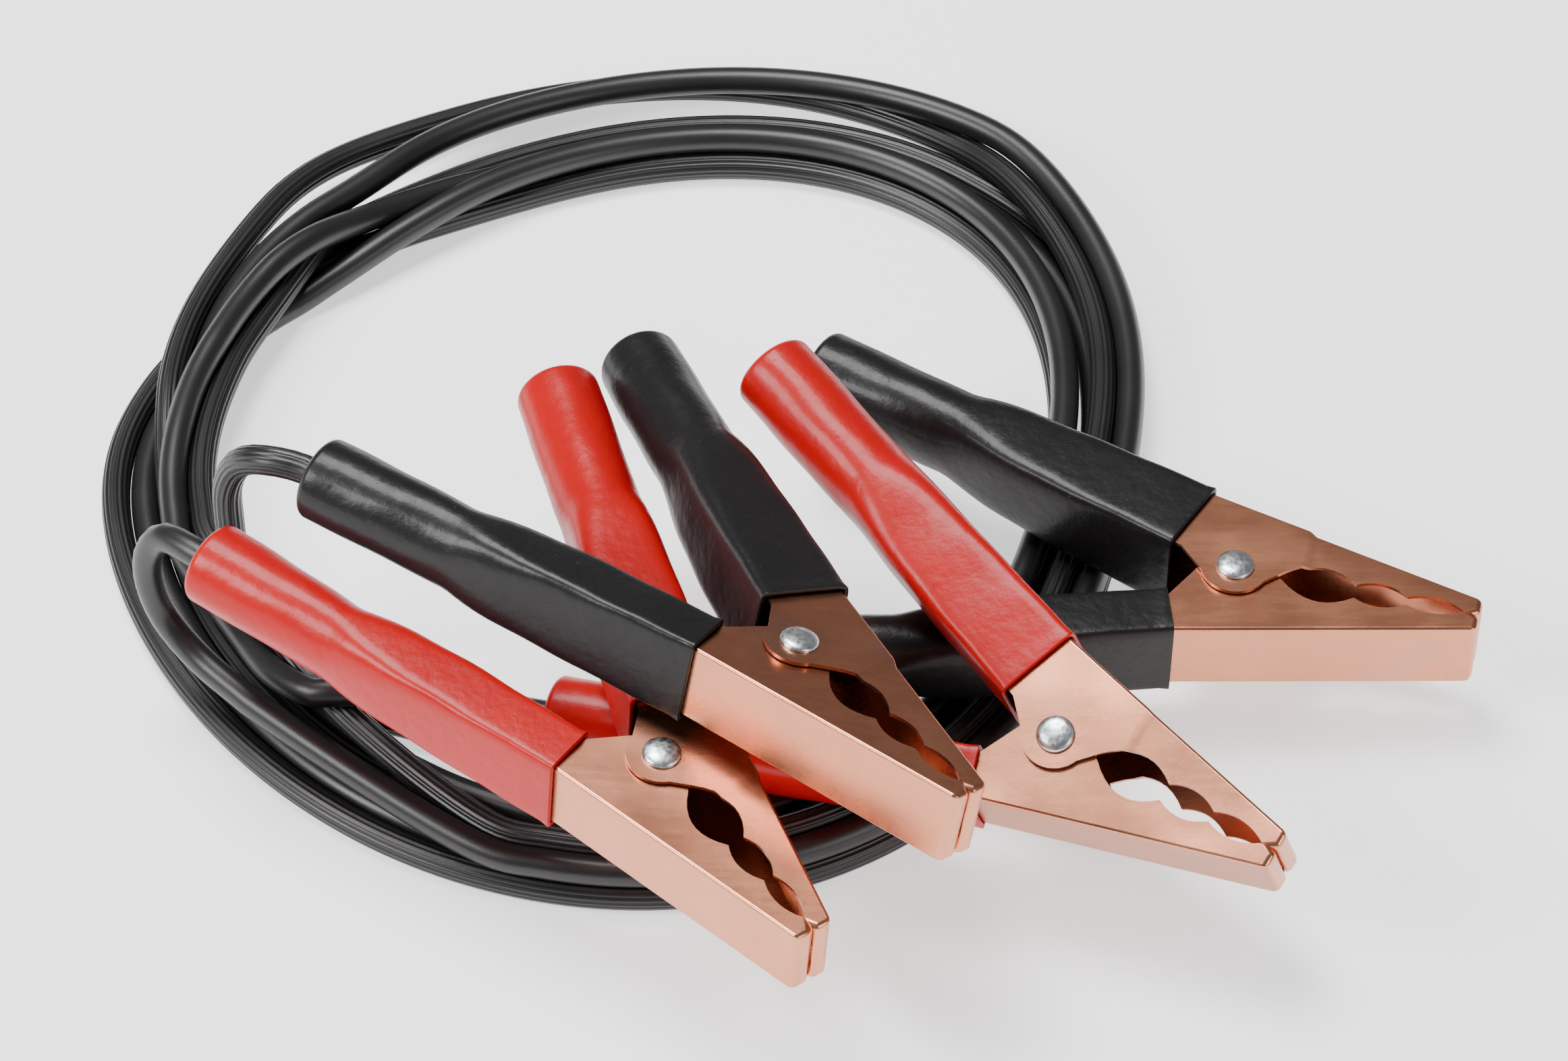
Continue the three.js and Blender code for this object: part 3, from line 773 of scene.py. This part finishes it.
def spring_line():
    points = []
    steps = int(SPRING_TURNS * TURN_STEPS)
    end_y = web_line(LEG_REACH) - SHEET - WIRE / 2 - LEG_PLAY
    points.append((LEG_REACH, end_y, SPRING_HALF))
    points.append((*CABLE_LEG_TURN, SPRING_HALF))
    for k in range(steps + 1):
        turn = 2 * math.pi * SPRING_TURNS * k / steps
        z = SPRING_HALF - 2 * SPRING_HALF * k / steps
        points.append((SPRING_RADIUS * math.cos(turn), -SPRING_RADIUS * math.sin(turn), z))
    points.append((*FREE_LEG_TURN, -SPRING_HALF))
    points.append((LEG_REACH, -end_y, -SPRING_HALF))
    return points


def wire_piece(name, places):
    bpy.ops.object.select_all(action="DESELECT")
    bpy.ops.curve.primitive_nurbs_path_add()
    piece = bpy.context.object
    piece.name = name
    piece.data.splines.clear()
    strand = piece.data.splines.new("POLY")
    strand.points.add(len(places) - 1)
    for point, place in zip(strand.points, places):
        point.co = (*place, 1)
    piece.data.bevel_depth = WIRE / 2
    piece.data.bevel_resolution = 3
    piece.data.use_fill_caps = True
    use(piece)
    bpy.ops.object.convert(target="MESH")
    piece = bpy.context.object
    bpy.ops.object.shade_smooth_by_angle(angle=math.radians(50))
    return piece


# The half of the coil that ends in the free jaw's leg turns with that jaw, as the wire winds up
spring_points = spring_line()
middle_turn = len(spring_points) // 2
spring_held = wire_piece("wound_spring", spring_points[:middle_turn + 1])
spring_turned = wire_piece("spring_free_end", spring_points[middle_turn:])


def spring_finish():
    finish = Finish("spring_steel", Metallic=1.0)
    drawn = finish.noise(900, 3)
    return finish.set(
        Base_Color=finish.tint(drawn, (0.16, 0.165, 0.17, 1), (0.34, 0.345, 0.35, 1)),
        Roughness=0.3 + 0.2 * drawn,
    )


steel = spring_finish()
place_copies(spring_held, "spring", steel)
place_copies(spring_turned, "spring", steel, moves=True)

# The sleeves are dip-moulded soft vinyl tubes pushed over the handles: squarish at the mouth, where they
# grip the channel, and round at the tail. The free handles' sleeves are closed there, and the cable
# comes out of the others.
SLEEVE_WALL = 1.0
SEAT_GAP = 0.3
TAIL_RADIUS = 9.1
TAIL_ROUND = 1.7
RING_POINTS = 56
SLEEVE_ROWS = 44
END_ROWS = 7
MOUTH_SQUARE = 12
ROUNDS_BY = 1.6
CABLE_PLAY = 0.25
CLOSED_SHARE = 0.55
LIP_LENGTH = 1.6
LIP_RAISE = 0.22
# Where along the sleeve its soft wall kinks, is pinched and dips, and over how much of it
KINK = (0.58, 0.09)
PINCH = (0.62, 0.16)
DIP = (0.3, 0.12)
KINK_BY = 0.35
DIP_BY = 0.15
PINCH_FLAT = 0.3
PINCH_WIDE = 0.2
RIPPLE = 0.06
SWAY = 0.07


def swell(share, middle, over):
    """A smooth rise along the sleeve, which is 1 at its middle."""
    return math.exp(-((share - middle) / over) ** 2)


def sleeve_model(name, flange_edge, jaw_width, bore):
    back = web_line(WEB_TURN_X)
    grow = SEAT_GAP + SLEEVE_WALL
    centre = (back + flange_edge) / 2
    half_depth = (back - flange_edge) / 2 + grow
    half_width = jaw_width / 2 + grow
    start = Vector((MOUTH_X, centre, 0))
    run = Vector((*HANDLE_TAIL, 0)) - start
    along = run.normalized()
    outward = Vector((-along.y, along.x, 0))
    length = run.length
    bpy.ops.object.select_all(action="DESELECT")
    bpy.ops.mesh.primitive_circle_add(vertices=RING_POINTS, radius=1)
    sleeve = bpy.context.object
    sleeve.name = name
    use(sleeve, "EDIT")
    bpy.ops.mesh.select_all(action="SELECT")
    for _ in range(SLEEVE_ROWS + END_ROWS):
        bpy.ops.mesh.extrude_region_move(TRANSFORM_OT_translate={"value": (0, 0, 1)})
    if not bore:
        bpy.ops.mesh.edge_face_add()
    bpy.ops.object.mode_set(mode="OBJECT")
    for vertex in sleeve.data.vertices:
        row = round(vertex.co.z)
        turn = math.atan2(vertex.co.y, vertex.co.x)
        share = min(row / SLEEVE_ROWS, 1)
        far = share * (length - TAIL_ROUND)
        inset = 0
        if row > SLEEVE_ROWS:
            bend = (row - SLEEVE_ROWS) / END_ROWS * math.pi / 2
            far += TAIL_ROUND * math.sin(bend)
            inset = TAIL_ROUND * (1 - math.cos(bend))
            if row == SLEEVE_ROWS + END_ROWS:
                inset = TAIL_RADIUS - CONDUCTOR / 2 - CABLE_PLAY if bore else TAIL_RADIUS * CLOSED_SHARE
        power = 2 / (MOUTH_SQUARE + (2 - MOUTH_SQUARE) * min(1, share * ROUNDS_BY))
        depth = half_depth + (TAIL_RADIUS - half_depth) * share
        width = half_width + (TAIL_RADIUS - half_width) * share
        # The tang inside ends past the middle, where the soft tube bends and flattens a little
        pinch = swell(share, *PINCH)
        lip = LIP_RAISE * max(0, 1 - far / LIP_LENGTH)
        # Low waves round and along the wall, as in a soft moulding that has been handled
        soft = RIPPLE * math.sin(5 * turn + 9 * share) * math.sin(7.0 * math.pi * share) * share
        soft += SWAY * math.sin(2 * turn + 31 * share) * min(1, 6 * share)
        cos, sin = math.cos(turn), math.sin(turn)
        side = math.copysign(abs(cos) ** power, cos) * (depth - inset - PINCH_FLAT * pinch + lip + soft)
        z = math.copysign(abs(sin) ** power, sin) * (width - inset + PINCH_WIDE * pinch + lip + soft)
        middle = KINK_BY * swell(share, *KINK) - DIP_BY * swell(share, *DIP)
        place = start + along * far + outward * (side + middle * min(1, share * 4))
        vertex.co = (place.x, place.y, z)
    use(sleeve, "EDIT")
    bpy.ops.mesh.select_all(action="SELECT")
    bpy.ops.mesh.normals_make_consistent(inside=False)
    bpy.ops.object.mode_set(mode="OBJECT")
    apply(sleeve, "SOLIDIFY", thickness=SLEEVE_WALL, offset=-1, use_even_offset=False)
    apply(sleeve, "BEVEL", limit_method="ANGLE", angle_limit=math.radians(55), width=0.3, segments=3)
    use(sleeve)
    bpy.ops.object.shade_smooth_by_angle(angle=math.radians(50))
    return sleeve


def sleeve_finish(name, deep, bright):
    finish = Finish(name, Coat_Weight=0.08, Coat_Roughness=0.12, Specular_IOR_Level=0.24)
    cloud = finish.noise(60, 3)
    soft = finish.noise(330, 3, 0.55)
    speck = finish.between(0.74, 0.8, finish.noise(1500, 1))
    return finish.set(
        Base_Color=finish.tint(cloud, deep, bright),
        Roughness=0.3 + 0.12 * soft,
        Normal=finish.bump(soft + 0.4 * speck, 0.35, 0.0005),
    )


vinyl = {
    "red": sleeve_finish("red_vinyl", (0.38, 0.0, 0.001, 1), (0.50, 0.0, 0.0015, 1)),
    "black": sleeve_finish("black_vinyl", (0.006, 0.0055, 0.006, 1), (0.012, 0.011, 0.012, 1)),
}
cable_sleeve = sleeve_model("moulded_cable_sleeve", CABLE_FLANGE_EDGE, CABLE_JAW_WIDTH, True)
free_sleeve = sleeve_model("moulded_free_sleeve", FREE_FLANGE_EDGE, FREE_JAW_WIDTH, False)
place_copies(cable_sleeve, "cable_sleeve", vinyl)
place_copies(free_sleeve, "free_sleeve", vinyl, other_side=True, moves=True)

# The floor is a plain white sheet, which glows slightly, to come nearer the photograph's cut-out white.
# Plain soft light falls on it from large panels overhead and in front.
bpy.ops.mesh.primitive_plane_add(size=30, location=(0, 0, 0))
floor = bpy.context.object
floor.name = "floor"
paper = bpy.data.materials.new("paper")
paper.use_nodes = True
paper_shader = paper.node_tree.nodes["Principled BSDF"]
paper_shader.inputs["Base Color"].default_value = (0.92, 0.92, 0.92, 1)
paper_shader.inputs["Roughness"].default_value = 0.9
paper_shader.inputs["Emission Color"].default_value = (1, 1, 1, 1)
paper_shader.inputs["Emission Strength"].default_value = 1.0
floor.data.materials.append(paper)
floor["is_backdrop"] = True

world = bpy.data.worlds.new("studio")
world.use_nodes = True
sky = world.node_tree.nodes["Background"]
sky.inputs["Color"].default_value = (1, 1, 1, 1)
sky.inputs["Strength"].default_value = 0.2
bpy.context.scene.world = world
# Each panel's place in metres, its size and its power, all aimed at the middle of the clamps
PANEL_AIM = Vector((0.03, 0.08, 0))
PANELS = (
    ((-1.2, -0.4, 1.0), 0.6, 24),
    ((-0.35, 0.5, 1.7), 0.8, 40),
    ((1.1, -0.9, 0.7), 0.5, 6),
)
for place, size, power in PANELS:
    bpy.ops.object.light_add(type="AREA", location=place)
    panel = bpy.context.object
    panel.data.size = size
    panel.data.energy = power
    panel.rotation_mode = "QUATERNION"
    panel.rotation_quaternion = (Vector(place) - PANEL_AIM).to_track_quat("Z", "Y")

low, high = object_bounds()
